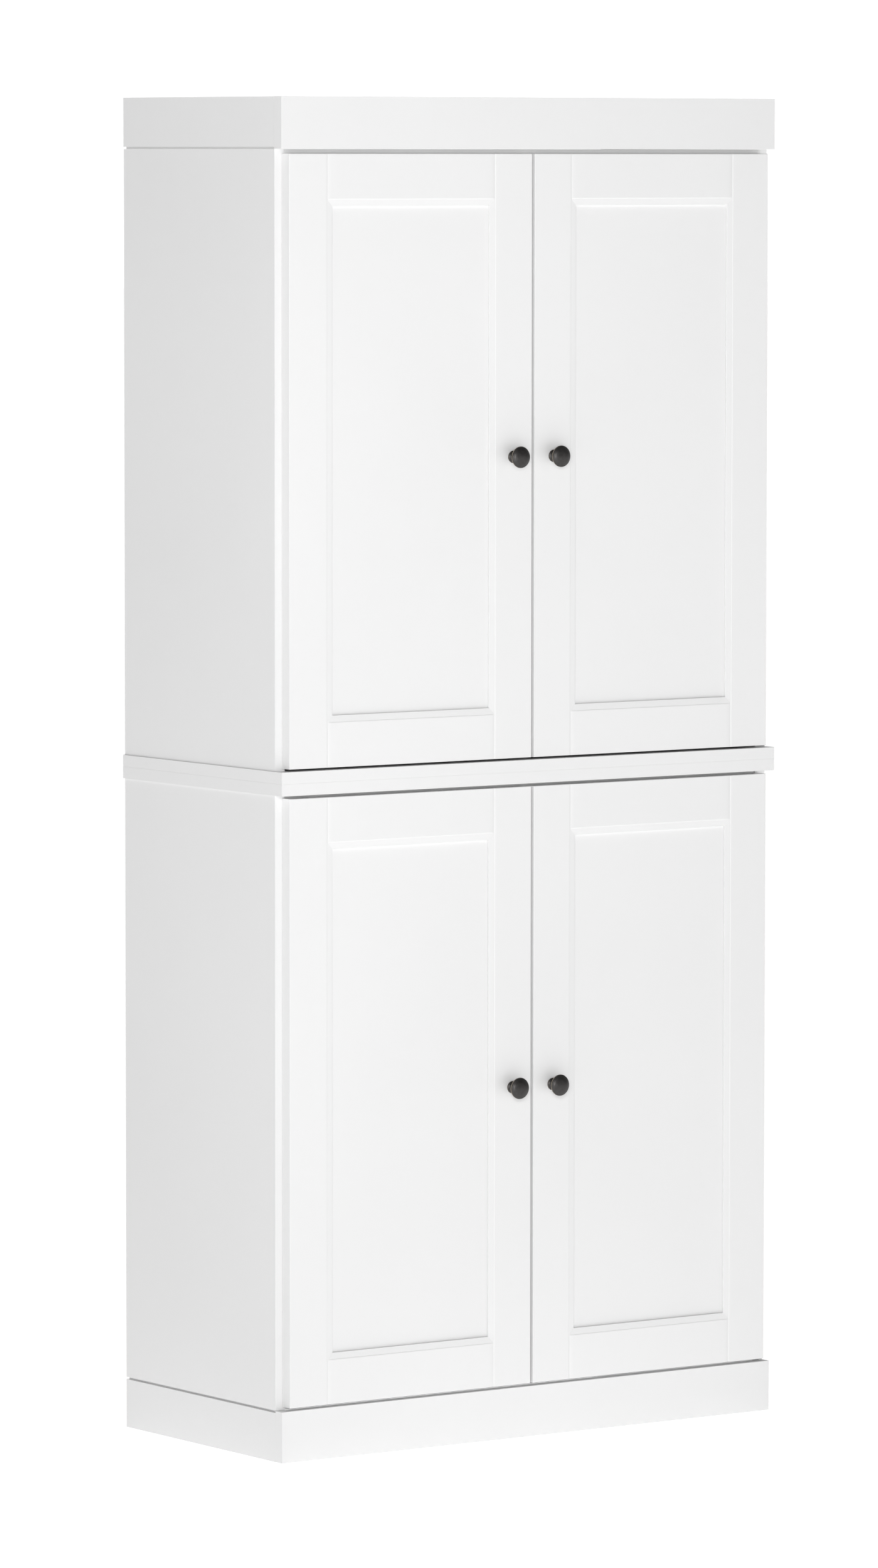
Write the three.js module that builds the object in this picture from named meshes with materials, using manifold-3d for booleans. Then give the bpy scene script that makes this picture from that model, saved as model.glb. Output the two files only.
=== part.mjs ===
// Four-door pantry cabinet: two carcasses stacked on a plinth, with a plain crown on top.
// Millimetres, +Z up. The doors face -Y, and the origin is on the floor under the middle of the object.
// Inside the file y = 0 is the plane of the side panels' front edges; the outermost group shifts it.
import * as THREE from "three";
import { mergeVertices } from "three/addons/utils/BufferGeometryUtils.js";
import Module from "manifold-3d";

// Carcass
const seam = 0.25; // clearance where two separate pieces meet
const boardT = 16; // thickness of the carcass boards
const cabinetW = 826; // over the outer faces of the side panels
const sideD = 371; // front edge to back edge of a side panel
const openingH = 834; // height of the space between the horizontal boards of one carcass
const plinthH = 70;
const crownH = 70;
const crownFrontT = 17.5; // the crown's front board, which stands in front of the side panels' edges
const crownProud = 0.75; // and its ends this far out from them
const mouldingForward = 20; // front edge of the two boards between the carcasses
const mouldingProud = 2; // their overhang at the sides and at the back
const topRailD = 90; // flat rail that ties the lower side panels together, behind the tops of the doors
const topRailSetBack = 4; // its front edge, behind the front edges of the side panels
const shadowH = 2.75; // rebate that draws a dark line above the plinth's sides and under the crown's
const shadowD = 5;
const backT = 3; // hardboard back, let into a rebate
const backRebateW = 8;

// Shelves
const shelvesInUpper = 2;
const shelvesInLower = 1;
const shelfSetback = 22; // behind the side panels' front edges, clear of the doors
const shelfSideGap = 1;
const shelfBackGap = 2;
const pinHoleR = 2.6;
const pinHoleDepth = 9;
const pinHolePitch = 32; // each shelf can also go one hole up or one hole down
const pinHoleInset = 45; // centre of a hole from the shelf's front or back edge

// Doors
const doorT = 18;
const doorStandoff = 0.25; // between a door's back and the side panels' front edges
const doorReveal = 11.5; // of a side panel's front edge left showing beside a door
const doorMiddleGap = 4.5; // between the two doors of a pair
const doorGaps = {
  lower: { below: 4.5, above: 4.5 },
  upper: { below: 3.5, above: 6.25 },
};
const memberFaceW = 60; // flat face of a stile or rail, up to its moulded edge
const arrisW = 1.5; // rounded step at the start of the moulded edge
const arrisD = 0.8;
const bandW = 10; // whole width of the moulded edge
const bandD = 2; // its depth where it ends over the panel
const lipW = 0.25; // blunt edge beyond the moulded band
const grooveHalfW = 2.5; // half of the V-groove where a rail meets a stile
const fieldD = 4.25; // face of the panel behind the face of the door
const panelT = 6;
const panelTongue = 7.5; // how far the panel's edge reaches into the frame
const panelPlay = 0.5; // room left around the panel's edge

// Knobs
const knobR = 14.75;
const knobProjection = 24.5;
const knobFootR = 8.4;
const knobFootT = 2;
const knobNeckR = 4.6;
const knobHeadT = 9.5; // of the projection, the part taken by the head
const knobRimT = 3.5; // height of the head's rounded rim
const knobInset = 31.75; // axis of a knob from the meeting edge of its door
const knobHoleR = 2.5;

// Concealed hinges
const cupR = 17.5;
const cupD = 11.5;
const cupWall = 1.2;
const cupEdgeGap = boardT - doorReveal + 2 * seam; // from the door's edge, clear of the side panel
const cupPlay = 0.25; // between the cup and its pocket
const flangeT = 1;
const flangeH = 58; // over the two ears
const flangeW = 20;
const hingeInset = 100; // centre of a hinge from the top or bottom of its door
const armW = 12;
const armT = 7;
const armLength = 62; // rear end of the arm behind the door
const armOverlap = 0.5; // how far the arm sinks into its plate
const noseGap = 0.5; // between the arm's nose and the cup's flange
const noseFlat = 3.5; // width of the nose's face over the cup
const plateT = 2.75; // mounting plate on the side panel
const saddleW = 14; // raised middle of the plate, which holds the arm
const saddleL = 39;
const plateSetback = 37; // centre of the plate behind the side panel's front edge
const plateWingH = 52;
const plateWingW = 12;

// Levels, from the floor up
const lowerZ = plinthH;
const lowerTopZ = lowerZ + openingH;
const upperBottomZ = lowerTopZ + boardT;
const upperZ = upperBottomZ + boardT;
const crownZ = upperZ + openingH;
const overallH = crownZ + crownH;

// Other values that follow from those above
const halfW = cabinetW / 2;
const innerHalfW = halfW - boardT;
const backInnerY = sideD - backT - seam;
const doorW = halfW - doorReveal - doorMiddleGap / 2;
const frontOfKnobs = -(doorStandoff + doorT + seam + knobProjection);
const backOfMoulding = sideD + mouldingProud;
const memberW = memberFaceW + grooveHalfW; // board of a stile or rail, without its lip
const memberFullW = memberFaceW + bandW + lipW;

const wasm = await Module();
wasm.setup();

const paint = (color, roughness, metalness) =>
  new THREE.MeshStandardMaterial({ color, roughness, metalness });
const lacquer = paint(0xf2f1ee, 0.45, 0);
const hardboard = paint(0xb79f83, 0.85, 0);
const bronze = paint(0x2e2824, 0.4, 0.8);
const nickel = paint(0xb9bbbd, 0.3, 1);

// Shape helpers

// A solid for joining and cutting, from a closed geometry.
function solidOf(geometry) {
  const bare = geometry.clone().deleteAttribute("normal").deleteAttribute("uv");
  const merged = mergeVertices(bare, 1e-4);
  return new wasm.Manifold(
    new wasm.Mesh({
      numProp: 3,
      vertProperties: merged.attributes.position.array,
      triVerts: new Uint32Array(merged.index.array),
    }),
  );
}

function geometryOf(solid) {
  const { numProp, numVert, vertProperties, triVerts } = solid.getMesh();
  const points = new Float32Array(numVert * 3);
  for (let i = 0; i < numVert; i++) {
    points.set(vertProperties.subarray(i * numProp, i * numProp + 3), i * 3);
  }
  const geometry = new THREE.BufferGeometry();
  geometry.setAttribute("position", new THREE.BufferAttribute(points, 3));
  geometry.setIndex(new THREE.BufferAttribute(triVerts, 1));
  const flat = geometry.toNonIndexed();
  flat.computeVertexNormals();
  return flat;
}

function cut(geometry, tools) {
  const result = tools.reduce((left, tool) => left.subtract(solidOf(tool)), solidOf(geometry));
  return geometryOf(result);
}

function join(geometries) {
  const [first, ...others] = geometries.map(solidOf);
  return geometryOf(others.reduce((sum, other) => sum.add(other), first));
}

const outlineOf = (points) => new THREE.Shape(points.map(([x, y]) => new THREE.Vector2(x, y)));

// A shape in XY carried up by a length along Z.
function extrude(shape, length, curveSegments = 6) {
  return new THREE.ExtrudeGeometry(shape, { depth: length, bevelEnabled: false, curveSegments });
}

// A block between two opposite corners.
function block([x0, y0, z0], [x1, y1, z1]) {
  const geometry = new THREE.BoxGeometry(x1 - x0, y1 - y0, z1 - z0);
  return geometry.translate((x0 + x1) / 2, (y0 + y1) / 2, (z0 + z1) / 2);
}

// A round plug along Y, used for pockets and holes.
function plugAlongY(radius, length, segments) {
  return new THREE.CylinderGeometry(radius, radius, length, segments);
}

function addPiece(parent, name, geometry, material) {
  const mesh = new THREE.Mesh(geometry, material);
  mesh.name = name;
  parent.add(mesh);
  return mesh;
}

// Carcass

// Heights of the undersides of n shelves that share one opening evenly.
function shelfLevels(count, fromZ, toZ) {
  const bay = (toZ - fromZ - count * boardT) / (count + 1);
  return Array.from({ length: count }, (_, i) => fromZ + bay + i * (bay + boardT));
}

const carcasses = {
  lower: { z: lowerZ, shelves: shelfLevels(shelvesInLower, lowerZ + boardT, lowerTopZ) },
  upper: { z: upperZ, shelves: shelfLevels(shelvesInUpper, upperZ, crownZ - boardT) },
};
const shelfFrontY = shelfSetback;
const shelfBackY = backInnerY - shelfBackGap;

// A left side panel: an upright board with a rebate for the back and blind holes for the shelf pins.
function sidePanel(carcass) {
  const outline = [
    [-halfW, 0],
    [-innerHalfW, 0],
    [-innerHalfW, backInnerY],
    [-innerHalfW - backRebateW, backInnerY],
    [-innerHalfW - backRebateW, sideD],
    [-halfW, sideD],
  ];
  const upright = extrude(outlineOf(outline), openingH - 2 * seam).translate(0, 0, carcass.z + seam);
  const holes = [];
  for (const shelfZ of carcass.shelves) {
    for (const step of [-1, 0, 1]) {
      for (const y of [shelfFrontY + pinHoleInset, shelfBackY - pinHoleInset]) {
        const hole = plugAlongY(pinHoleR, 2 * pinHoleDepth, 10).rotateZ(Math.PI / 2);
        holes.push(hole.translate(-innerHalfW, y, shelfZ - pinHoleR + step * pinHolePitch));
      }
    }
  }
  return cut(upright, holes);
}

// A left plinth or crown side: a board on edge whose outer corner is rebated towards the side panel.
function edgeBoard(outerX, fromZ, toZ, shadowAtTop, frontY) {
  const innerX = outerX + boardT;
  const rebateX = outerX + shadowD;
  const outline = shadowAtTop
    ? [
        [outerX, fromZ],
        [innerX, fromZ],
        [innerX, toZ],
        [rebateX, toZ],
        [rebateX, toZ - shadowH],
        [outerX, toZ - shadowH],
      ]
    : [
        [outerX, fromZ + shadowH],
        [rebateX, fromZ + shadowH],
        [rebateX, fromZ],
        [innerX, fromZ],
        [innerX, toZ],
        [outerX, toZ],
      ];
  const board = extrude(outlineOf(outline), sideD - frontY);
  return board.rotateX(Math.PI / 2).translate(0, sideD, 0);
}

function addPlinthFront(cabinet) {
  const front = block([-halfW, -boardT, 0], [halfW, 0, plinthH]);
  addPiece(cabinet, "plinth_front", front, lacquer);
}

function addCrownFront(cabinet) {
  const endX = halfW + crownProud;
  const front = block([-endX, -crownFrontT, crownZ], [endX, 0, overallH]);
  addPiece(cabinet, "crown_front", front, lacquer);
}

function addHorizontalBoards(cabinet) {
  const insideX = innerHalfW - seam;
  const bottom = block([-insideX, 0, lowerZ + seam], [insideX, backInnerY, lowerZ + seam + boardT]);
  addPiece(cabinet, "lower_bottom_panel", bottom, lacquer);
  const railZ = lowerTopZ - seam;
  const railBack = topRailSetBack + topRailD;
  const rail = block([-insideX, topRailSetBack, railZ - boardT], [insideX, railBack, railZ]);
  addPiece(cabinet, "lower_top_rail", rail, lacquer);
  const top = block([-insideX, 0, crownZ - seam - boardT], [insideX, backInnerY, crownZ - seam]);
  addPiece(cabinet, "upper_top_panel", top, lacquer);
  const mouldingX = halfW + mouldingProud;
  const layers = [
    ["lower_top_board", lowerTopZ, upperBottomZ],
    ["upper_bottom_board", upperBottomZ + seam, upperZ],
  ];
  for (const [name, z0, z1] of layers) {
    const layer = block([-mouldingX, -mouldingForward, z0], [mouldingX, backOfMoulding, z1]);
    addPiece(cabinet, name, layer, lacquer);
  }
}

function addBacksAndShelves(cabinet) {
  const backX = innerHalfW + backRebateW - seam;
  const shelfX = innerHalfW - shelfSideGap;
  for (const [unit, { z, shelves }] of Object.entries(carcasses)) {
    const back = block([-backX, sideD - backT, z + seam], [backX, sideD, z + openingH - seam]);
    addPiece(cabinet, unit + "_back_panel", back, hardboard);
    shelves.forEach((shelfZ, i) => {
      const shelf = block([-shelfX, shelfFrontY, shelfZ], [shelfX, shelfBackY, shelfZ + boardT]);
      addPiece(cabinet, unit + "_shelf_" + (i + 1), shelf, lacquer);
    });
  }
}

// Doors are built with x = 0 at the hinge-side edge, y = 0 at the back and z = 0 at the bottom.

// Section of a stile or rail, outer edge at x = 0. The inner edge has the moulded lip and the panel's groove.
function memberSection() {
  const front = -doorT;
  const shape = new THREE.Shape();
  shape.moveTo(0, front);
  shape.lineTo(memberFaceW, front);
  shape.bezierCurveTo(
    memberFaceW + arrisW * 0.55,
    front,
    memberFaceW + arrisW,
    front + arrisD * 0.45,
    memberFaceW + arrisW,
    front + arrisD,
  );
  shape.lineTo(memberFaceW + bandW, front + bandD);
  shape.lineTo(memberFullW, front + bandD + lipW);
  shape.lineTo(memberFullW, front + fieldD - seam);
  shape.lineTo(memberFullW - panelTongue, front + fieldD - seam);
  shape.lineTo(memberFullW - panelTongue, front + fieldD + panelT + seam);
  shape.lineTo(memberFullW, front + fieldD + panelT + seam);
  shape.lineTo(memberFullW, 0);
  shape.lineTo(0, 0);
  return shape;
}

// Keeps the part of a member that lies over an outline in its own XZ plane, through the whole thickness.
function trimTo(member, outline) {
  const beyond = 1;
  const keep = extrude(outlineOf(outline), doorT + 2 * beyond);
  keep.rotateX(Math.PI / 2).translate(0, beyond, 0);
  return geometryOf(solidOf(member).intersect(solidOf(keep)));
}

// A stile runs the whole height, and its lip is mitred where the rails' lips meet it.
function stile(doorH) {
  const beyond = 1;
  const tip = memberFullW + beyond;
  const member = extrude(memberSection(), doorH, 4);
  return trimTo(member, [
    [-beyond, -beyond],
    [memberW, -beyond],
    [memberW, memberW],
    [tip, tip],
    [tip, doorH - tip],
    [memberW, doorH - memberW],
    [memberW, doorH + beyond],
    [-beyond, doorH + beyond],
  ]);
}

// A rail stands between the stiles. Its ends are chamfered into half a V-groove and its lip is mitred.
function rail() {
  const beyond = 1;
  const tip = memberFullW + beyond;
  const start = memberW + seam;
  const member = extrude(memberSection(), doorW, 4);
  const trimmed = trimTo(member, [
    [-beyond, start],
    [memberW, start],
    [tip, tip + seam],
    [tip, doorW - tip - seam],
    [memberW, doorW - start],
    [-beyond, doorW - start],
  ]);
  const grooveD = arrisD + ((bandD - arrisD) * (grooveHalfW - arrisW)) / (bandW - arrisW);
  const wedges = [
    [start, grooveHalfW],
    [doorW - start, -grooveHalfW],
  ].map(([z, inward]) => {
    const wedge = outlineOf([
      [z - inward, -doorT - grooveD],
      [z + inward, -doorT],
      [z, -doorT + grooveD],
      [z - inward, -doorT + grooveD],
    ]);
    const bar = extrude(wedge, memberFaceW + beyond);
    return bar.rotateY(-Math.PI / 2).translate(memberFaceW, 0, 0);
  });
  return cut(trimmed, wedges);
}

function doorPanel(doorH) {
  const edge = memberFullW - panelTongue + panelPlay;
  const front = -doorT + fieldD;
  return block([edge, front, edge], [doorW - edge, front + panelT, doorH - edge]);
}

function knob() {
  const r = knobR;
  const p = knobProjection;
  const headZ = p - knobHeadT;
  const rimZ = headZ + knobRimT / 2;
  const faceZ = headZ + knobRimT * 1.6;
  const crown = p - faceZ;
  const profile = [
    [0, 0],
    [knobFootR, 0],
    [knobFootR, knobFootT * 0.8],
    [knobFootR * 0.75, knobFootT * 1.4],
    [knobNeckR, knobFootT * 2.5],
    [knobNeckR, headZ * 0.6],
    [knobNeckR * 1.3, headZ * 0.8],
    [r * 0.8, headZ],
    [r * 0.97, rimZ - knobRimT * 0.2],
    [r, rimZ + knobRimT * 0.3],
    [r * 0.96, faceZ - knobRimT * 0.35],
    [r * 0.86, faceZ],
    [r * 0.64, faceZ + crown * 0.5],
    [r * 0.33, faceZ + crown * 0.88],
    [0, p],
  ];
  const lathe = new THREE.LatheGeometry(profile.map(([x, y]) => new THREE.Vector2(x, y)), 24);
  return lathe.rotateX(Math.PI);
}

// The hinge's cup: a round steel shell in the door with a flange of two ears on the door's back.
function hingeCup() {
  const inner = cupR - cupWall;
  const profile = [
    [0, -cupD],
    [cupR, -cupD],
    [cupR, flangeT],
    [inner, flangeT],
    [inner, cupWall - cupD],
    [0, cupWall - cupD],
  ];
  const shell = new THREE.LatheGeometry(profile.map(([x, y]) => new THREE.Vector2(x, y)), 24);
  const ears = new THREE.Shape();
  const earR = flangeW / 2;
  ears.absarc(0, flangeH / 2 - earR, earR, 0, Math.PI, false);
  ears.absarc(0, earR - flangeH / 2, earR, Math.PI, 2 * Math.PI, false);
  const flange = extrude(ears, flangeT).rotateX(Math.PI / 2).translate(0, flangeT, 0);
  const mouth = plugAlongY((inner + cupR) / 2, 3 * flangeT, 24);
  return join([shell, cut(flange, [mouth])]);
}

// The hinge's arm on its mounting plate, drawn from above: x across the opening and y towards the back.
function hingeArm() {
  const wallX = boardT - doorReveal + seam; // the side panel's inner face, seen from the door's edge
  const plateX = wallX + plateT;
  const armX = plateX - armOverlap;
  const topX = plateX + armT;
  const plateY = doorStandoff + plateSetback;
  const crankY = plateY - plateWingW;
  const noseY = flangeT + noseGap;
  const noseX = cupEdgeGap + cupR + armT;
  const outline = new THREE.Shape();
  outline.moveTo(armX, armLength);
  outline.lineTo(armX, crankY - armT);
  outline.quadraticCurveTo(armX, noseY + armT, noseX - noseFlat - 1, noseY + armT * 0.7);
  outline.lineTo(noseX - noseFlat, noseY);
  outline.lineTo(noseX, noseY);
  outline.lineTo(noseX, noseY + armT * 1.3);
  outline.quadraticCurveTo(topX + armT * 0.3, noseY + armT * 1.8, topX, crankY);
  outline.lineTo(topX, armLength - armT / 2);
  outline.lineTo(topX - armT * 0.4, armLength);
  const arm = extrude(outline, armW, 5).translate(0, 0, -armW / 2);
  const wings = block(
    [wallX, plateY - plateWingW / 2, -plateWingH / 2],
    [plateX, plateY + plateWingW / 2, plateWingH / 2],
  );
  const saddle = block(
    [wallX, plateY - saddleL / 2, -saddleW / 2],
    [plateX + armOverlap, plateY + saddleL / 2, saddleW / 2],
  );
  return join([arm, wings, saddle]);
}

// One door, as it hangs on the left of the cabinet, with its hinge arms on the side panel beside it.
function addDoor(half, unit, hand) {
  const name = unit + "_" + hand;
  const gaps = doorGaps[unit];
  const doorH = openingH - gaps.below - gaps.above;
  const door = new THREE.Group();
  door.position.set(doorReveal - halfW, -doorStandoff, carcasses[unit].z + gaps.below);
  half.add(door);

  const hingeX = cupEdgeGap + cupR;
  const hingeHeights = { bottom: hingeInset, top: doorH - hingeInset };
  const pockets = Object.values(hingeHeights).map((z) => {
    const pocket = plugAlongY(cupR + cupPlay, 2 * (cupD + cupPlay), 24);
    return pocket.translate(hingeX, 0, z);
  });
  addPiece(door, name + "_door_hinge_stile", cut(stile(doorH), pockets), lacquer);

  const knobHole = plugAlongY(knobHoleR, 3 * doorT, 12).translate(knobInset, 0, doorH / 2);
  const meeting = addPiece(door, name + "_door_meeting_stile", cut(stile(doorH), [knobHole]), lacquer);
  meeting.rotation.y = Math.PI;
  meeting.position.set(doorW, 0, doorH);

  const topRail = addPiece(door, name + "_door_top_rail", rail(), lacquer);
  topRail.rotation.y = Math.PI / 2;
  topRail.position.set(0, 0, doorH);
  const bottomRail = addPiece(door, name + "_door_bottom_rail", rail(), lacquer);
  bottomRail.rotation.y = -Math.PI / 2;
  bottomRail.position.set(doorW, 0, 0);
  addPiece(door, name + "_door_panel", doorPanel(doorH), lacquer);

  const pull = addPiece(door, name + "_knob", knob(), bronze);
  pull.position.set(doorW - knobInset, -doorT - seam, doorH / 2);

  for (const [place, z] of Object.entries(hingeHeights)) {
    const cup = addPiece(door, name + "_hinge_cup_" + place, hingeCup(), nickel);
    cup.position.set(hingeX, seam, z);
    const arm = addPiece(door, name + "_hinge_arm_" + place, hingeArm(), nickel);
    arm.position.z = z;
  }
}

// Assembly

const cabinet = new THREE.Group();
cabinet.position.y = -(frontOfKnobs + backOfMoulding) / 2;

addPlinthFront(cabinet);
addHorizontalBoards(cabinet);
addBacksAndShelves(cabinet);
addCrownFront(cabinet);

// Everything that comes in pairs is built as the left one, and the right half of the cabinet mirrors it.
for (const hand of ["left", "right"]) {
  const half = new THREE.Group();
  half.scale.x = hand === "left" ? 1 : -1;
  cabinet.add(half);
  const plinthSide = edgeBoard(-halfW, 0, plinthH, true, seam);
  addPiece(half, "plinth_" + hand, plinthSide, lacquer);
  const crownSide = edgeBoard(-halfW - crownProud, crownZ, overallH, false, seam);
  addPiece(half, "crown_" + hand, crownSide, lacquer);
  for (const unit of ["lower", "upper"]) {
    addPiece(half, unit + "_" + hand + "_side_panel", sidePanel(carcasses[unit]), lacquer);
    addDoor(half, unit, hand);
  }
}

export default cabinet;
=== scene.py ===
import math

import bmesh
import bpy
import numpy as np
from mathutils import Matrix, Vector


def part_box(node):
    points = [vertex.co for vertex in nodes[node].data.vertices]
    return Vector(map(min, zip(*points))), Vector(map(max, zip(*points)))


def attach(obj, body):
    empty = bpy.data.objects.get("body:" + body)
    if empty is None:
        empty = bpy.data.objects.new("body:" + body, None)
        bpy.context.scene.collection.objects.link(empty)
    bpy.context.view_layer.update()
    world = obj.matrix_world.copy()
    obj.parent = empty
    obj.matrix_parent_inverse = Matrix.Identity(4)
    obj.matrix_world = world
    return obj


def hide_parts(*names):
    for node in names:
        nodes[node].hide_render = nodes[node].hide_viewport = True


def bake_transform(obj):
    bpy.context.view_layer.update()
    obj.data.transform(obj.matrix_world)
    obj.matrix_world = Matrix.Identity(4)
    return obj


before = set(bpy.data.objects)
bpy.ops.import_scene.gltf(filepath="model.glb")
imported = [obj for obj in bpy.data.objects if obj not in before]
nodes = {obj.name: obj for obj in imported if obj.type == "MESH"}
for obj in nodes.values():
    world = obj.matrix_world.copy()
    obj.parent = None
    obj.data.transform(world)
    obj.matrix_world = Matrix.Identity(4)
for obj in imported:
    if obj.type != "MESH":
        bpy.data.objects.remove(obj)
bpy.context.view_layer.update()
units = ("lower", "upper")
hands = ("left", "right")
print("frame loaded:", len(nodes), "nodes")


def newMaterial(name):
    material = bpy.data.materials.new(name)
    material.use_nodes = True
    tree = material.node_tree
    return material, tree, tree.nodes["Principled BSDF"]


def addNode(tree, kind, values=None, **settings):
    node = tree.nodes.new(kind)
    for key, value in settings.items():
        setattr(node, key, value)
    for key, value in (values or {}).items():
        node.inputs[key].default_value = value
    return node


def objectNoise(tree, scale, detail=4.0, roughness=0.5, stretch=(1, 1, 1)):
    # noise over the piece's own coordinates, squeezed by stretch
    place = addNode(tree, "ShaderNodeTexCoord")
    mapping = addNode(tree, "ShaderNodeMapping", {"Scale": stretch})
    tree.links.new(place.outputs["Object"], mapping.inputs["Vector"])
    noise = addNode(tree, "ShaderNodeTexNoise", {"Scale": scale, "Detail": detail, "Roughness": roughness})
    tree.links.new(mapping.outputs["Vector"], noise.inputs["Vector"])
    return noise.outputs["Fac"]


def spread(tree, value, low, high, fromLow=0.3, fromHigh=0.7):
    # carries a 0 to 1 pattern over to the range low to high
    node = addNode(tree, "ShaderNodeMapRange", {"From Min": fromLow, "From Max": fromHigh})
    node.inputs["To Min"].default_value = low
    node.inputs["To Max"].default_value = high
    tree.links.new(value, node.inputs["Value"])
    return node.outputs["Result"]


def blendColors(tree, factor, first, second):
    node = addNode(tree, "ShaderNodeMix", data_type="RGBA")
    for socket, color in ((node.inputs[6], first), (node.inputs[7], second)):
        if isinstance(color, bpy.types.NodeSocket):
            tree.links.new(color, socket)
        else:
            socket.default_value = (*color, 1)
    tree.links.new(factor, node.inputs[0])
    return node.outputs[2]


def bumpInto(tree, shader, height, distance, strength, under=None):
    node = addNode(tree, "ShaderNodeBump", {"Strength": strength, "Distance": distance})
    tree.links.new(height, node.inputs["Height"])
    if under is not None:
        tree.links.new(under, node.inputs["Normal"])
    tree.links.new(node.outputs["Normal"], shader.inputs["Normal"])
    return node.outputs["Normal"]


def gridFaces(rows, columns, roundRows=False, roundColumns=False):
    # corner numbers of the quads between the points of a grid stored row by row
    r, c = np.meshgrid(
        np.arange(rows if roundRows else rows - 1),
        np.arange(columns if roundColumns else columns - 1),
        indexing="ij",
    )
    nextR, nextC = (r + 1) % rows, (c + 1) % columns
    corners = [r * columns + c, nextR * columns + c, nextR * columns + nextC, r * columns + nextC]
    return np.stack(corners, -1).reshape(-1, 4)


def makePiece(name, points, faces, material, sharpAngle=35, fields=None):
    # one mesh object with its place in its mesh: doubles merged, flat slivers dissolved, faces out
    mesh = bpy.data.meshes.new(name)
    mesh.from_pydata(np.asarray(points).reshape(-1, 3).tolist(), [], [list(map(int, f)) for f in faces])
    for key, values in (fields or {}).items():
        layer = mesh.attributes.new(key, "FLOAT", "POINT")
        layer.data.foreach_set("value", np.asarray(values, np.float32).ravel())
    shape = bmesh.new()
    shape.from_mesh(mesh)
    bmesh.ops.remove_doubles(shape, verts=shape.verts, dist=2e-6)
    bmesh.ops.dissolve_degenerate(shape, edges=shape.edges, dist=1e-6)
    bmesh.ops.recalc_face_normals(shape, faces=shape.faces)
    shape.to_mesh(mesh)
    shape.free()
    mesh.materials.append(material)
    mesh.polygons.foreach_set("use_smooth", np.ones(len(mesh.polygons), bool))
    mesh.set_sharp_from_angle(angle=math.radians(sharpAngle))
    piece = bpy.data.objects.new(name, mesh)
    bpy.context.scene.collection.objects.link(piece)
    return piece


def smoothCurve(points, steps):
    # Catmull-Rom curve through the points: each stretch is a cubic from its four nearest points
    p = np.asarray(points, float)
    p = np.vstack([2 * p[0] - p[1], p, 2 * p[-1] - p[-2]])
    t = np.linspace(0, 1, steps, endpoint=False)[:, None]
    a, b, c, d = (p[i : len(p) - 3 + i, None, :] for i in range(4))
    curve = 0.5 * (2 * b + (c - a) * t)
    curve += 0.5 * ((2 * a - 5 * b + 4 * c - d) * t**2 + (3 * b - a - 3 * c + d) * t**3)
    return np.vstack([curve.reshape(-1, p.shape[1]), p[-2]])


def turnedSurface(profile, around, centre, axis):
    # a profile of (radius, height) turned about an axis through centre: ring after ring of points
    axis = np.asarray(axis, float)
    side = np.cross(axis, (0, 0, 1) if abs(axis[2]) < 0.9 else (1, 0, 0))
    side /= np.linalg.norm(side)
    other = np.cross(axis, side)
    angle = np.linspace(0, 2 * np.pi, around, endpoint=False)
    ring = np.cos(angle)[:, None] * side + np.sin(angle)[:, None] * other
    radius, height = np.asarray(profile, float).T
    points = np.asarray(centre) + radius[:, None, None] * ring + (height[:, None] * axis)[:, None, :]
    return points, gridFaces(len(profile), around, roundColumns=True)


def gather(parts):
    # several (points, faces) surfaces as one
    points, faces, first = [], [], 0
    for p, f in parts:
        p = np.asarray(p).reshape(-1, 3)
        points.append(p)
        faces.append(np.asarray(f) + first)
        first += len(p)
    return np.vstack(points), np.vstack(faces)


lacquerSet = {
    "boards": (0.80, 0.80, 0.80),
    "doors": (0.81, 0.81, 0.81),
    "roughness": (0.34, 0.46),
    "peel": 900.0,  # fine ripple left by the spray gun, waves per metre
    "peelDepth": 0.00006,
    "cloud": 2.2,  # broad unevenness of the film
}


def lacquerFinish(name, color):
    material, tree, shader = newMaterial(name)
    cloud = objectNoise(tree, lacquerSet["cloud"], detail=3.0)
    darker = tuple(0.975 * c for c in color)
    tint = blendColors(tree, spread(tree, cloud, 0, 1), darker, color)
    tree.links.new(tint, shader.inputs["Base Color"])
    fine = objectNoise(tree, 160.0, detail=2.0)
    tree.links.new(spread(tree, fine, *lacquerSet["roughness"]), shader.inputs["Roughness"])
    peel = objectNoise(tree, lacquerSet["peel"], detail=2.0)
    bumpInto(tree, shader, peel, lacquerSet["peelDepth"], 0.25)
    shader.inputs["IOR"].default_value = 1.48
    return material


boardSet = {
    "raw": ((0.36, 0.24, 0.14), (0.50, 0.36, 0.23)),
    "foil": (0.78, 0.78, 0.77),
    "fibre": 420.0,
    "split": 0.0012,  # the white foil is only on the inner side
}


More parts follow.
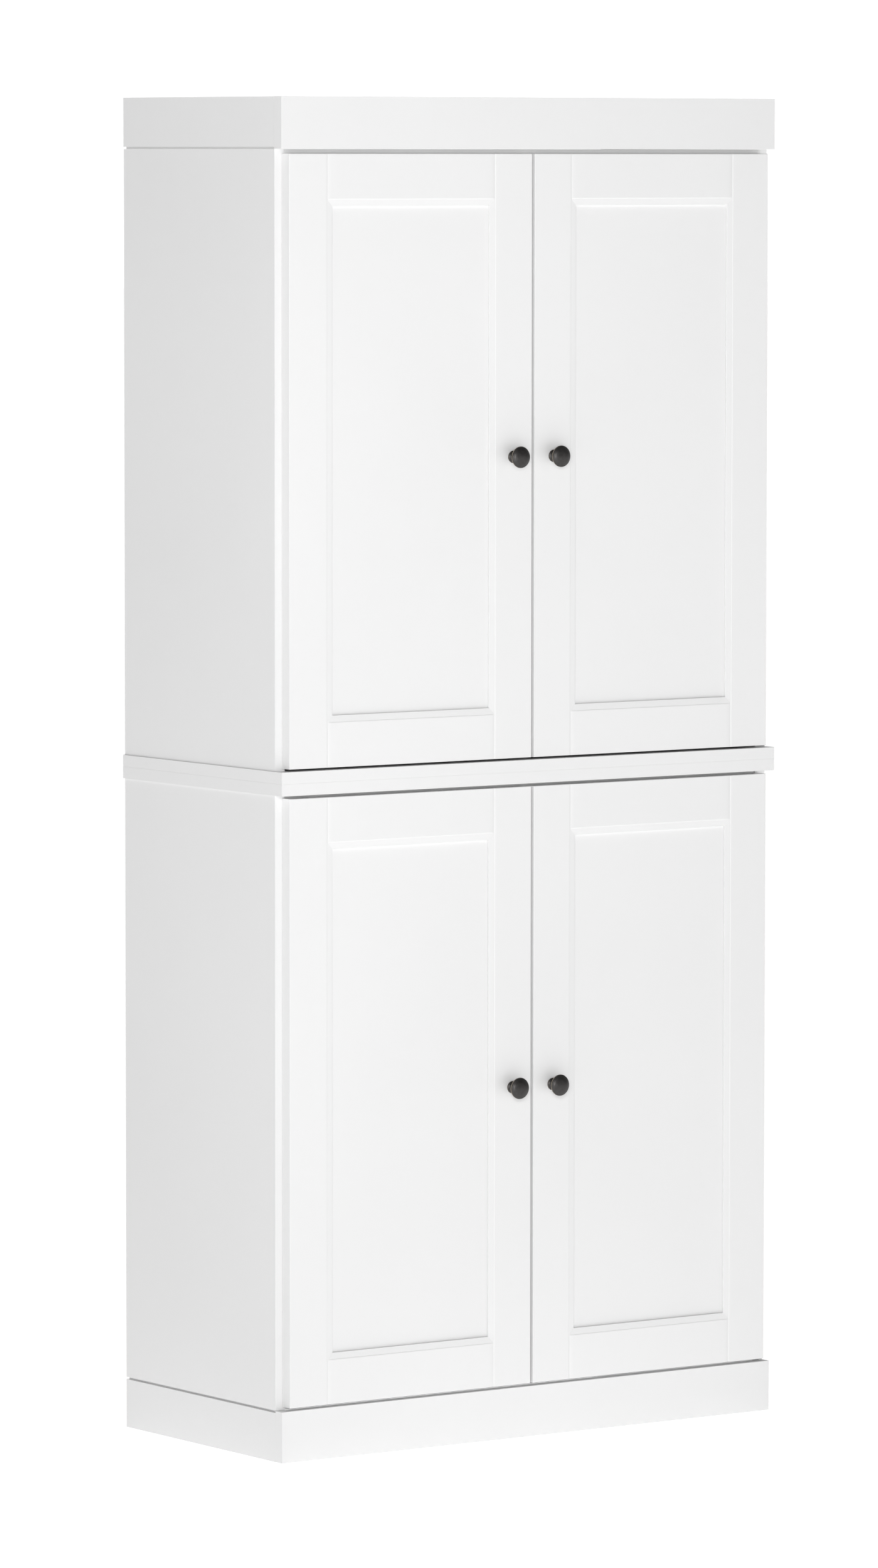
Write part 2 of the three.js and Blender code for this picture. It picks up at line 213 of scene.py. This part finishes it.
def hardboardFinish(name, middleY):
    # raw brown fibre behind middleY and a white foil in front of it
    material, tree, shader = newMaterial(name)
    fibre = objectNoise(tree, boardSet["fibre"], detail=6.0, roughness=0.65, stretch=(1, 1, 0.45))
    blot = objectNoise(tree, 9.0, detail=4.0)
    dark, light = boardSet["raw"]
    raw = blendColors(tree, spread(tree, fibre, 0, 1, 0.25, 0.75), dark, light)
    tanned = blendColors(tree, spread(tree, blot, 0, 0.35), raw, light)
    place = addNode(tree, "ShaderNodeTexCoord")
    parts = addNode(tree, "ShaderNodeSeparateXYZ")
    tree.links.new(place.outputs["Object"], parts.inputs["Vector"])
    inside = addNode(tree, "ShaderNodeMath", operation="LESS_THAN")
    inside.inputs[1].default_value = middleY
    tree.links.new(parts.outputs["Y"], inside.inputs[0])
    color = blendColors(tree, inside.outputs["Value"], tanned, boardSet["foil"])
    tree.links.new(color, shader.inputs["Base Color"])
    rough = addNode(tree, "ShaderNodeMapRange", {"To Min": 0.82, "To Max": 0.45})
    tree.links.new(inside.outputs["Value"], rough.inputs["Value"])
    tree.links.new(rough.outputs["Result"], shader.inputs["Roughness"])
    bumpInto(tree, shader, fibre, 0.00025, 0.5)
    return material


bronzeSet = {
    "dark": (0.047, 0.044, 0.043),
    "face": (0.060, 0.058, 0.057),
    # warm colour of the painted highlight and rubbed wear on the knob
    "highlightAndWear": (0.40, 0.34, 0.27),
    "roughness": (0.38, 0.46),
}


def bronzeFinish(name):
    # dark oil-rubbed bronze, with warm metal colour painted where the knob's field is high: partly rubbed wear,
    # partly a painted highlight on the back of the head's rim
    material, tree, shader = newMaterial(name)
    mottle = objectNoise(tree, 240.0, detail=4.0)
    body = blendColors(tree, spread(tree, mottle, 0, 1), bronzeSet["dark"], bronzeSet["face"])
    highlightWear = addNode(tree, "ShaderNodeAttribute", attribute_name="highlightAndWear")
    patchy = addNode(tree, "ShaderNodeMath", operation="MULTIPLY")
    tree.links.new(highlightWear.outputs["Fac"], patchy.inputs[0])
    tree.links.new(spread(tree, mottle, 0.55, 1.0), patchy.inputs[1])
    color = blendColors(tree, patchy.outputs["Value"], body, bronzeSet["highlightAndWear"])
    tree.links.new(color, shader.inputs["Base Color"])
    shader.inputs["Metallic"].default_value = 0.75
    tree.links.new(spread(tree, mottle, *bronzeSet["roughness"]), shader.inputs["Roughness"])
    grain = objectNoise(tree, 1500.0, detail=3.0)
    bumpInto(tree, shader, grain, 0.00008, 0.4)
    return material


def nickelFinish(name):
    # bright plating with the fine drawn lines of pressed steel
    material, tree, shader = newMaterial(name)
    lines = objectNoise(tree, 700.0, detail=3.0, stretch=(1, 0.12, 1))
    tint = blendColors(tree, spread(tree, lines, 0, 1), (0.50, 0.50, 0.49), (0.66, 0.66, 0.64))
    tree.links.new(tint, shader.inputs["Base Color"])
    shader.inputs["Metallic"].default_value = 1.0
    tree.links.new(spread(tree, lines, 0.22, 0.36), shader.inputs["Roughness"])
    bumpInto(tree, shader, lines, 0.00004, 0.3)
    return material


boardLacquer = lacquerFinish("cabinetLacquer", lacquerSet["boards"])
doorLacquer = lacquerFinish("doorLacquer", lacquerSet["doors"])
hardboard = hardboardFinish("backHardboard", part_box("upper_back_panel")[0].y + boardSet["split"])
bronze = bronzeFinish("knobBronze")
nickel = nickelFinish("hingeNickel")
print("finishes made")


edgeSet = {"boards": 0.0002, "metal": 0.00025, "panel": 0.0003}


def breakEdges(node, width, segments=3):
    weld = node.modifiers.new("weld", "WELD")
    weld.merge_threshold = 1e-6
    bevel = node.modifiers.new("bevel", "BEVEL")
    bevel.width = width
    bevel.segments = segments
    bevel.limit_method = "ANGLE"
    bevel.angle_limit = math.radians(50)
    bevel.harden_normals = True


finishOfSlot = {
    "board_lacquer": (boardLacquer, edgeSet["boards"]),
    "door_lacquer": (doorLacquer, edgeSet["panel"]),
    "back_hardboard": (hardboard, edgeSet["panel"]),
    "knob_bronze": (bronze, None),
    "hinge_nickel": (nickel, edgeSet["metal"]),
}
for node in nodes.values():
    finish, width = finishOfSlot[node.data.materials[0].name.split(".")[0]]
    for materialSlot in node.material_slots:
        materialSlot.material = finish
    if width:
        breakEdges(node, width)
print("boards finished")


mouldingSet = {
    "lower_top_board": (0.0001, 0.00012),  # how far the board is let down and up into its neighbours
    "upper_bottom_board": (0.00012, 0.0003),
}


def makeMouldingBoard(name):
    # a plain board that meets its neighbours with no open gap: the eight corners of its box
    low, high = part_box(name)
    down, up = mouldingSet[name]
    zs = (low.z - down, high.z + up)
    points = [(x, y, z) for z in zs for y in (low.y, high.y) for x in (low.x, high.x)]
    faces = [(0, 1, 3, 2), (4, 6, 7, 5), (0, 4, 5, 1), (2, 3, 7, 6), (0, 2, 6, 4), (1, 5, 7, 3)]
    piece = makePiece(name + "_fitted", points, faces, boardLacquer)
    breakEdges(piece, edgeSet["boards"])
    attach(piece, "cabinet")
    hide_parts(name)


for name in mouldingSet:
    makeMouldingBoard(name)
print("moulding boards made")


doorSet = {
    "edge": 0.00055,  # radius of the outer edges
    "band": 0.010,  # sloping moulded edge round the panel, measured across
    "bandDeep": 0.0012,
    "lip": 0.00025,
    "arris": 0.0012,  # rounded step where the moulded edge starts
    "arrisDeep": 0.0004,
    "groove": 0.0025,  # half of the V-groove where a rail meets a stile
    "field": 0.00425,  # the panel's face behind the door's face
    "panelThick": 0.006,
    "seam": 0.00002,  # glue line between a rail and a stile
    "play": 0.00025,  # round the panel and the hinge cups
    "roundSteps": 6,
    "settle": 0.0004,  # narrow strip that keeps a flat face flat beside a rounded edge
    "drill": (64, 0.04),  # sides and length of the round cutter for a hinge pocket
}


def roundOver(distance, radius):
    # how far a quarter-round edge has dropped at this distance from the corner
    d = np.clip(radius - distance, 0, radius)
    return radius - np.sqrt(radius**2 - d**2)


def memberSection(full):
    # stations across a stile or rail and how deep its front lies there: flat, rounded step, slope, lip
    s = doorSet
    flat = full - s["band"] - s["lip"]
    edge = s["edge"] * (1 - np.cos(np.linspace(0, np.pi / 2, s["roundSteps"])))
    turn = np.linspace(0, np.pi / 2, s["roundSteps"])
    arris = flat + s["arris"] * np.sin(turn)
    joint = flat + s["groove"]
    strips = [s["edge"] + s["settle"], flat - s["settle"]]
    across = np.concatenate([edge, strips, arris, [joint, joint + s["seam"], full - s["lip"], full]])
    slope = (s["bandDeep"] - s["arrisDeep"]) / (s["band"] - s["arris"])
    past = np.clip((across - flat) / s["arris"], 0, 1)
    deep = s["arrisDeep"] * (1 - np.sqrt(1 - past**2))
    deep += slope * np.clip(across - flat - s["arris"], 0, s["band"] - s["arris"])
    deep += np.clip(across - (full - s["lip"]), 0, None)
    return across, deep, flat


def alongStations(length, flat, full):
    # close together where the ends are rounded and where the lip is mitred
    s = doorSet
    edge = s["edge"] * (1 - np.cos(np.linspace(0, np.pi / 2, s["roundSteps"])))
    joint = flat + s["groove"]
    groove = [joint, joint + s["seam"], joint + 2 * s["seam"], joint + s["seam"] + s["groove"]]
    mitre = [full - s["lip"], full, full + s["seam"], full + 2 * s["seam"]]
    half = np.concatenate([edge, [s["edge"] + s["settle"]], groove, mitre])
    return np.unique(np.round(np.concatenate([half, length - half]), 7))


def doorMember(length, full, thick, isStile):
    # (across, along, deep) points of a closed ring of section points carried along the member.
    # A stile's lip is cut back to the mitre line; a rail's ring starts and ends on it instead.
    s = doorSet
    across, deep, flat = memberSection(full)
    joint = flat + s["groove"]
    grooveFront, grooveBack = s["field"] - s["play"], s["field"] + s["panelThick"] + s["play"]
    lip = across[across > joint + 1e-6]
    ringA = np.concatenate([across, lip[::-1], lip, across[::-1]])
    ringD = np.concatenate([deep, 0 * lip + grooveFront, 0 * lip + grooveBack, 0 * across + thick])
    isFront = np.arange(len(ringA)) < len(across)
    isBack = np.arange(len(ringA)) >= len(ringA) - len(across)
    along = alongStations(length, flat, full)
    a, l = np.meshgrid(ringA, along, indexing="ij")
    d = np.repeat(ringD[:, None], len(along), 1)
    toEnd = np.minimum(l, length - l)
    if isStile:
        a = np.minimum(a, np.clip(toEnd, joint, full))
        frontDeep = np.interp(a, across, deep)
        edgeDrop = roundOver(toEnd, s["edge"]) + roundOver(a, s["edge"])
        d = np.where(isFront[:, None], frontDeep + edgeDrop, d)
        d = np.where(isBack[:, None], thick - edgeDrop, d)
    else:
        start = np.maximum(a, joint) + s["seam"]
        l = np.clip(l, start, length - start)
        past = np.minimum(l, length - l) - (joint + s["seam"])
        grooveDeep = np.interp(joint, across, deep) * np.clip(1 - past / s["groove"], 0, 1)
        edgeDrop = roundOver(a, s["edge"])
        d = np.where(isFront[:, None], np.maximum(np.interp(a, across, deep), grooveDeep) + edgeDrop, d)
        d = np.where(isBack[:, None], thick - edgeDrop, d)
    return np.stack([a, l, d], -1), len(across), len(lip)


def memberFaces(ringCount, alongCount, frontCount, lipCount):
    # the skin between the rings, and end faces that join each front point to the back point behind it
    skin = gridFaces(ringCount, alongCount, roundRows=True)
    front = np.arange(frontCount)
    back = ringCount - 1 - front
    inner = front[frontCount - lipCount :]
    grooveFront = frontCount + lipCount - 1 - np.arange(lipCount)
    grooveBack = frontCount + lipCount + np.arange(lipCount)
    last = frontCount - lipCount
    solid = np.stack([front[: last - 1], front[1:last], back[1:last], back[: last - 1]], -1).tolist()
    solid.append([last - 1, last, grooveFront[0], grooveBack[0], back[last], back[last - 1]])
    pairs = [(inner, grooveFront), (grooveBack, back[last:])]
    for p, q in pairs:
        solid += np.stack([p[:-1], p[1:], q[1:], q[:-1]], -1).tolist()
    ends = [[int(i) * alongCount + at for i in face] for face in solid for at in (0, alongCount - 1)]
    return skin.tolist() + ends


def placeMember(local, corner, acrossDir, alongDir):
    # local (across, along, deep) points as points of the cabinet
    a, l, d = local[..., 0:1], local[..., 1:2], local[..., 2:3]
    return corner + a * np.asarray(acrossDir) + l * np.asarray(alongDir) + d * np.array([0, 1.0, 0])


def boxOf(names):
    lows, highs = zip(*(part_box(n) for n in names))
    return np.min(lows, 0), np.max(highs, 0)


def drillPockets(piece, cups):
    # round blind holes for the hinge cups, a little wider and deeper than the cups
    play = doorSet["play"]
    radius = hingeSet["cupRadius"] + play
    sides, length = doorSet["drill"]
    profile = [(0, 0), (radius, 0), (radius, length), (0, length)]
    parts = []
    for name in cups:
        low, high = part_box(name)
        centre = ((low.x + high.x) / 2, low.y - play, (low.z + high.z) / 2)
        parts.append(turnedSurface(profile, sides, centre, (0, 1, 0)))
    cutter = makePiece("cutter", *gather(parts), doorLacquer)
    hole = piece.modifiers.new("pockets", "BOOLEAN")
    hole.object = cutter
    hole.solver = "EXACT"
    evaluated = piece.evaluated_get(bpy.context.evaluated_depsgraph_get())
    drilled = bpy.data.meshes.new_from_object(evaluated)
    piece.modifiers.clear()
    piece.data = drilled
    drilled.name = piece.name
    bpy.data.objects.remove(cutter)


hingeSet = {
    "places": ("bottom", "top"),
    "cupRadius": 0.0175,
    "earPitch": 0.048,  # between the two screws of a cup
    "platePitch": 0.032,  # between the two screws of a mounting plate
    "plateThick": 0.00275,
    "armThick": 0.007,
    "armScrews": (0.0285, 0.053),  # behind the side panel's front edge
    "plateBack": 0.037,
}


def makeDoor(unit, hand):
    name = f"{unit}_{hand}_door"
    members = {m: f"{name}_{m}" for m in ("hinge_stile", "meeting_stile", "top_rail", "bottom_rail")}
    low, high = boxOf(members.values())
    stileLow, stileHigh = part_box(members["hinge_stile"])
    full, thick = stileHigh.x - stileLow.x, stileHigh.y - stileLow.y
    width, height = high[0] - low[0], high[2] - low[2]
    inward = 1.0 if hand == "left" else -1.0
    hingeX, meetX = (low[0], high[0]) if hand == "left" else (high[0], low[0])
    front = low[1]
    layout = {
        "hinge_stile": ((hingeX, front, low[2]), (inward, 0, 0), (0, 0, 1), height),
        "meeting_stile": ((meetX, front, low[2]), (-inward, 0, 0), (0, 0, 1), height),
        "bottom_rail": ((low[0], front, low[2]), (0, 0, 1), (1, 0, 0), width),
        "top_rail": ((low[0], front, high[2]), (0, 0, -1), (1, 0, 0), width),
    }
    for member, (corner, acrossDir, alongDir, length) in layout.items():
        local, frontCount, lipCount = doorMember(length, full, thick, member.endswith("stile"))
        points = placeMember(local, corner, acrossDir, alongDir)
        faces = memberFaces(local.shape[0], local.shape[1], frontCount, lipCount)
        piece = makePiece(members[member] + "_shaped", points, faces, doorLacquer)
        if member == "hinge_stile":
            drillPockets(piece, [f"{unit}_{hand}_hinge_cup_{place}" for place in hingeSet["places"]])
        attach(piece, name)
        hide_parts(members[member])


for unit in units:
    for hand in hands:
        makeDoor(unit, hand)
print("doors made")


knobSet = {
    "around": 72,
    # (share of the head's radius, share of the projection) from the door outwards
    "foot": [(0.545, 0.0), (0.575, 0.03), (0.555, 0.075), (0.45, 0.115)],
    "neck": [(0.34, 0.2), (0.30, 0.34), (0.36, 0.46), (0.56, 0.575), (0.86, 0.65)],
    "rim": [(0.965, 0.685), (0.995, 0.73), (0.995, 0.775), (0.955, 0.82), (0.90, 0.845)],
    "face": [(0.84, 0.862), (0.74, 0.90), (0.55, 0.948), (0.32, 0.983), (0.12, 0.998), (0.0, 1.0)],
    "smooth": 6,  # curve steps between two profile points
    # where warm metal is painted, partly rubbed wear and partly a painted highlight: share of the projection,
    # spread, strength
    "highlightWear": ((0.70, 0.055, 1.5), (0.04, 0.03, 0.35)),
}


def makeKnob(unit, hand):
    name = f"{unit}_{hand}_knob"
    low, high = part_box(name)
    radius, reach = (high.z - low.z) / 2, high.y - low.y
    centre = ((low.x + high.x) / 2, high.y, (low.z + high.z) / 2)
    stations = knobSet["foot"] + knobSet["neck"] + knobSet["rim"] + knobSet["face"]
    share = smoothCurve(stations, knobSet["smooth"])
    profile = np.vstack([[0, 0], share * (radius, reach)])
    profile[:, 0] = np.clip(profile[:, 0], 0, radius)
    profile[:, 1] = np.clip(profile[:, 1], 0, reach)
    points, faces = turnedSurface(profile, knobSet["around"], centre, (0, -1, 0))
    # warm painted highlight, partly rubbed wear, on the back of the head's rim and a little on the foot's edge
    h = profile[:, 1] / reach
    highlightAndWear = sum(most * np.exp(-(((h - at) / wide) ** 2)) for at, wide, most in knobSet["highlightWear"])
    highlightAndWear = np.repeat(np.clip(highlightAndWear, 0, 1)[:, None], knobSet["around"], 1)
    piece = makePiece(name + "_turned", points, faces, bronze, 50, {"highlightAndWear": highlightAndWear})
    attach(piece, f"{unit}_{hand}_door")
    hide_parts(name)


for unit in units:
    for hand in hands:
        makeKnob(unit, hand)
print("knobs made")


screwSet = {
    "head": 0.0038,  # radius of the cup and plate screws
    "armHead": 0.0033,
    "knobHead": 0.0046,
    "dome": 0.0013,
    "recess": 0.0011,
    "slotWide": 0.0009,
    "slotLong": 0.0052,
    "rings": 14,
    "around": 48,
}


def screwHead(centre, axis, radius=screwSet["head"]):
    # a domed head with a cross recess: dome less recess where the point is in an arm of the cross
    s = screwSet
    grow = radius / s["head"]
    rings, around = s["rings"], s["around"]
    r = radius * np.linspace(0, 1, rings)[:, None]
    angle = np.linspace(0, 2 * np.pi, around, endpoint=False)[None, :]
    u, v = r * np.cos(angle), r * np.sin(angle)
    dome = grow * s["dome"] * (0.35 + 0.65 * np.sqrt(np.clip(1 - (r / radius) ** 2, 0, 1)))
    narrow, wide = np.minimum(abs(u), abs(v)), np.maximum(abs(u), abs(v))
    inArm = np.clip(1.5 - narrow / (0.5 * grow * s["slotWide"]), 0, 1)
    inArm = inArm * np.clip(6 - wide / (0.5 * grow * s["slotLong"]) * 5.5, 0, 1)
    height = dome - inArm * grow * s["recess"]
    top = np.stack([u + 0 * height, v + 0 * height, height], -1)
    side = np.stack([u[-1], v[-1], 0 * u[-1]], -1)
    floor = 0 * side
    local = np.concatenate([top, side[None], floor[None]])
    axis = np.asarray(axis, float)
    across = np.cross(axis, (0, 0, 1))
    up = np.array([0, 0, 1.0])
    points = np.asarray(centre) + local @ np.stack([across, up, axis])
    return points, gridFaces(rings + 2, around, roundColumns=True)


def hingePlaces(unit, hand):
    # for each hinge, the middle of the back of its cup
    for place in hingeSet["places"]:
        cupLow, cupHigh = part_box(f"{unit}_{hand}_hinge_cup_{place}")
        yield (cupLow.x + cupHigh.x) / 2, cupHigh.y, (cupLow.z + cupHigh.z) / 2


def makeScrews(unit, hand):
    s = screwSet
    panelLow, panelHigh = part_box(f"{unit}_{hand}_side_panel")
    inward = 1.0 if hand == "left" else -1.0
    wallX = panelHigh.x if hand == "left" else panelLow.x
    onDoor, onPlate = [], []
    for x, y, z in hingePlaces(unit, hand):
        for up in (-0.5, 0.5):
            onDoor.append(screwHead((x, y, z + up * hingeSet["earPitch"]), (0, 1, 0)))
            plateX = wallX + inward * (hingeSet["plateThick"] + doorSet["play"])
            spot = (plateX, panelLow.y + hingeSet["plateBack"], z + up * hingeSet["platePitch"])
            onPlate.append(screwHead(spot, (inward, 0, 0)))
        armX = wallX + inward * (hingeSet["plateThick"] + doorSet["play"] + hingeSet["armThick"])
        for behind in hingeSet["armScrews"]:
            onPlate.append(screwHead((armX, panelLow.y + behind, z), (inward, 0, 0), s["armHead"]))
    knobLow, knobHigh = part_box(f"{unit}_{hand}_knob")
    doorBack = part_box(f"{unit}_{hand}_door_meeting_stile")[1].y
    knobSpot = ((knobLow.x + knobHigh.x) / 2, doorBack, (knobLow.z + knobHigh.z) / 2)
    onDoor.append(screwHead(knobSpot, (0, 1, 0), s["knobHead"]))
    for name, parts, body in (
        (f"{unit}_{hand}_door_screws", onDoor, f"{unit}_{hand}_door"),
        (f"{unit}_{hand}_plate_screws", onPlate, "cabinet"),
    ):
        piece = makePiece(name, *gather(parts), nickel)
        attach(piece, body)


pinSet = {
    "inHole": 0.0085,
    "reach": 0.0085,  # out from the side panel
    "shank": 0.0025,
    "collar": 0.0034,
    "collarThick": 0.0009,
    "point": 0.0006,  # length of the bevelled ends
    "inset": 0.045,  # from the shelf's front and back edges
    "under": 0.0001,  # clearance below the shelf
}


def makePins(unit, number):
    # four turned pins under one shelf, each with its thin collar in the gap beside the shelf
    s = pinSet
    low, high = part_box(f"{unit}_shelf_{number}")
    z = low.z - s["shank"] - s["under"]
    walls = ((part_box(f"{unit}_left_side_panel")[1].x, 1.0), (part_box(f"{unit}_right_side_panel")[0].x, -1.0))
    shank, collar, step = s["shank"], s["collar"], s["collarThick"]
    profile = [(0, -s["inHole"]), (shank * 0.8, -s["inHole"]), (shank, s["point"] - s["inHole"])]
    profile += [(shank, 0), (collar, 0), (collar, step), (shank, step)]
    profile += [(shank, s["reach"] - s["point"]), (shank * 0.78, s["reach"]), (0, s["reach"])]
    parts = [
        turnedSurface(profile, 24, (wallX, y, z), (inward, 0, 0))
        for wallX, inward in walls
        for y in (low.y + s["inset"], high.y - s["inset"])
    ]
    piece = makePiece(f"{unit}_shelf_{number}_pins", *gather(parts), nickel)
    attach(piece, "cabinet")


nailSet = {"radius": 0.0019, "thick": 0.0006, "pitch": 0.12, "inset": 0.0045}


def makeNails(unit):
    # flat nail heads round the edge of a back panel
    s = nailSet
    low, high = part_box(f"{unit}_back_panel")
    xs, zs = ((low.x + s["inset"], high.x - s["inset"]), (low.z + s["inset"], high.z - s["inset"]))
    acrossCount, upCount = (int((b - a) / s["pitch"]) + 1 for a, b in (xs, zs))
    spots = [(x, z) for z in zs for x in np.linspace(*xs, acrossCount)]
    spots += [(x, z) for x in xs for z in np.linspace(*zs, upCount)[1:-1]]
    profile = [(0, -0.0002), (s["radius"], -0.0002), (s["radius"], 0.6 * s["thick"])]
    profile += [(0.8 * s["radius"], s["thick"]), (0, s["thick"])]
    parts = [turnedSurface(profile, 14, (x, high.y, z), (0, 1, 0)) for x, z in spots]
    piece = makePiece(f"{unit}_back_nails", *gather(parts), nickel)
    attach(piece, "cabinet")


linkSet = {
    "wide": 0.010,
    "thick": 0.0016,
    "smooth": 6,  # curve steps between two points
    # (away from the hinge side, backwards) of the middle of the cup's back: from the arm's nose into the cup
    "path": [(0.0035, 0.0035), (0.002, 0.0), (-0.002, -0.0045), (-0.0075, -0.0072), (-0.0115, -0.0078)],
}


def makeLinks(unit, hand):
    # the two pressed links of a hinge, drawn as one strap each: a rectangle carried along a curve
    # from the arm's nose down into the cup
    s = linkSet
    inward = 1.0 if hand == "left" else -1.0
    for place, (x, y, z) in zip(hingeSet["places"], hingePlaces(unit, hand)):
        line = smoothCurve(s["path"], s["smooth"])
        along = np.gradient(line, axis=0)
        along /= np.linalg.norm(along, axis=1)[:, None]
        normal = np.stack([-along[:, 1], along[:, 0]], -1)
        half, thick = s["wide"] / 2, s["thick"] / 2
        corners = [(-half, -thick), (half, -thick), (half, thick), (-half, thick)]
        rows = []
        for up, side in corners:
            inwards, backwards = (line + side * normal).T
            rows.append(np.column_stack([x + inward * inwards, y + backwards, 0 * inwards + z + up]))
        points = np.stack(rows, 1)
        faces = gridFaces(len(line), 4, roundColumns=True).tolist()
        faces += [[0, 1, 2, 3], [4 * (len(line) - 1) + i for i in (3, 2, 1, 0)]]
        piece = makePiece(f"{unit}_{hand}_hinge_link_{place}", points, faces, nickel)
        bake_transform(piece)


for unit in units:
    for hand in hands:
        makeScrews(unit, hand)
        makeLinks(unit, hand)
    makeNails(unit)
for shelf in (n for n in nodes if "_shelf_" in n):
    unit, _, number = shelf.split("_")
    makePins(unit, number)
print("small hardware made")


studioSet = {
    "floor": (0.92, 0.92, 0.92),
    "floorGlow": 0.87,
    "floorReach": 80.0,
    "sky": 0.12,
    # brighter parts of the sky: direction, how narrow, strength
    "glows": (((-1.0, 1.0, 0.0), 4.0, 0.16), ((0.574, 0.819, -0.05), 10.0, 1.1)),
    # soft boxes: place, what it is aimed at, width, height, power
    "key": ((-3.4, -4.9, 1.8), (0.0, 0.0, 1.0), 2.0, 2.0, 179.0),
    "fill": ((2.4, -3.6, 1.2), (0.0, 0.0, 1.0), 1.6, 1.6, 3.75),
}


def makeFloor():
    mesh = bpy.data.meshes.new("studio_floor")
    reach = studioSet["floorReach"]
    corners = [(-reach, -reach, 0), (reach, -reach, 0), (reach, reach, 0), (-reach, reach, 0)]
    mesh.from_pydata(corners, [], [(0, 1, 2, 3)])
    material, tree, shader = newMaterial("studioFloor")
    grain = objectNoise(tree, 1.5, detail=2.0)
    shade = tuple(0.99 * c for c in studioSet["floor"])
    tree.links.new(blendColors(tree, grain, shade, studioSet["floor"]), shader.inputs["Base Color"])
    shader.inputs["Roughness"].default_value = 0.8
    shader.inputs["Specular IOR Level"].default_value = 0.1
    shader.inputs["Emission Color"].default_value = (1, 1, 1, 1)
    shader.inputs["Emission Strength"].default_value = studioSet["floorGlow"]
    mesh.materials.append(material)
    floor = bpy.data.objects.new("studio_floor", mesh)
    bpy.context.scene.collection.objects.link(floor)


def makeSky():
    # even all round, with broad soft glows: strength times (cosine of the angle to the glow) to a power
    world = bpy.data.worlds.new("studio")
    bpy.context.scene.world = world
    world.use_nodes = True
    tree = world.node_tree
    background = tree.nodes["Background"]
    background.inputs["Color"].default_value = (1, 1, 1, 1)
    direction = addNode(tree, "ShaderNodeTexCoord")
    total = addNode(tree, "ShaderNodeValue").outputs["Value"]
    total.default_value = studioSet["sky"]
    for toward, narrow, strength in studioSet["glows"]:
        axis = np.array(toward) / np.linalg.norm(toward)
        cosine = addNode(tree, "ShaderNodeVectorMath", operation="DOT_PRODUCT")
        cosine.inputs[1].default_value = tuple(axis)
        tree.links.new(direction.outputs["Generated"], cosine.inputs[0])
        ahead = addNode(tree, "ShaderNodeMath", {1: 0.0}, operation="MAXIMUM")
        lobe = addNode(tree, "ShaderNodeMath", {1: narrow}, operation="POWER")
        summed = addNode(tree, "ShaderNodeMath", {1: strength}, operation="MULTIPLY_ADD")
        tree.links.new(cosine.outputs["Value"], ahead.inputs[0])
        tree.links.new(ahead.outputs["Value"], lobe.inputs[0])
        tree.links.new(lobe.outputs["Value"], summed.inputs[0])
        tree.links.new(total, summed.inputs[2])
        total = summed.outputs["Value"]
    tree.links.new(total, background.inputs["Strength"])


def aimed(place, target):
    # a matrix at place whose -Z looks at target
    z = np.asarray(place, float) - np.asarray(target, float)
    z /= np.linalg.norm(z)
    x = np.cross((0, 0, 1), z)
    x /= np.linalg.norm(x)
    columns = np.eye(4)
    columns[:3, 0], columns[:3, 1], columns[:3, 2], columns[:3, 3] = x, np.cross(z, x), z, place
    return Matrix(columns.tolist())


def makeSoftBox(name):
    place, target, wide, tall, power = studioSet[name]
    light = bpy.data.lights.new(name, "AREA")
    light.shape = "RECTANGLE"
    light.size, light.size_y = wide, tall
    light.energy = power
    box = bpy.data.objects.new(name, light)
    box.matrix_world = aimed(place, target)
    bpy.context.scene.collection.objects.link(box)


cameraSet = {
    "place": (-6.4464, -9.1543, 1.7647),
    "turn": 35.035,  # degrees to the right of straight ahead
    "down": 4.463,
    "roll": 0.045,
    "lens": 185.62,
    "sensor": 36.0,
}


def makeCamera():
    data = bpy.data.cameras.new("camera")
    data.lens = cameraSet["lens"]
    data.sensor_width = cameraSet["sensor"]
    data.sensor_fit = "AUTO"
    data.clip_end = 400.0
    camera = bpy.data.objects.new("camera", data)
    turn = Matrix.Rotation(math.radians(-cameraSet["turn"]), 4, "Z")
    tilt = Matrix.Rotation(math.radians(90 - cameraSet["down"]), 4, "X")
    roll = Matrix.Rotation(math.radians(cameraSet["roll"]), 4, "Z")
    camera.matrix_world = Matrix.Translation(cameraSet["place"]) @ turn @ tilt @ roll
    bpy.context.scene.collection.objects.link(camera)
    bpy.context.scene.camera = camera


makeFloor()
makeSky()
for name in ("key", "fill"):
    makeSoftBox(name)
makeCamera()
bpy.context.scene.view_settings.view_transform = "Standard"
bpy.context.scene.view_settings.look = "None"
print("studio ready")
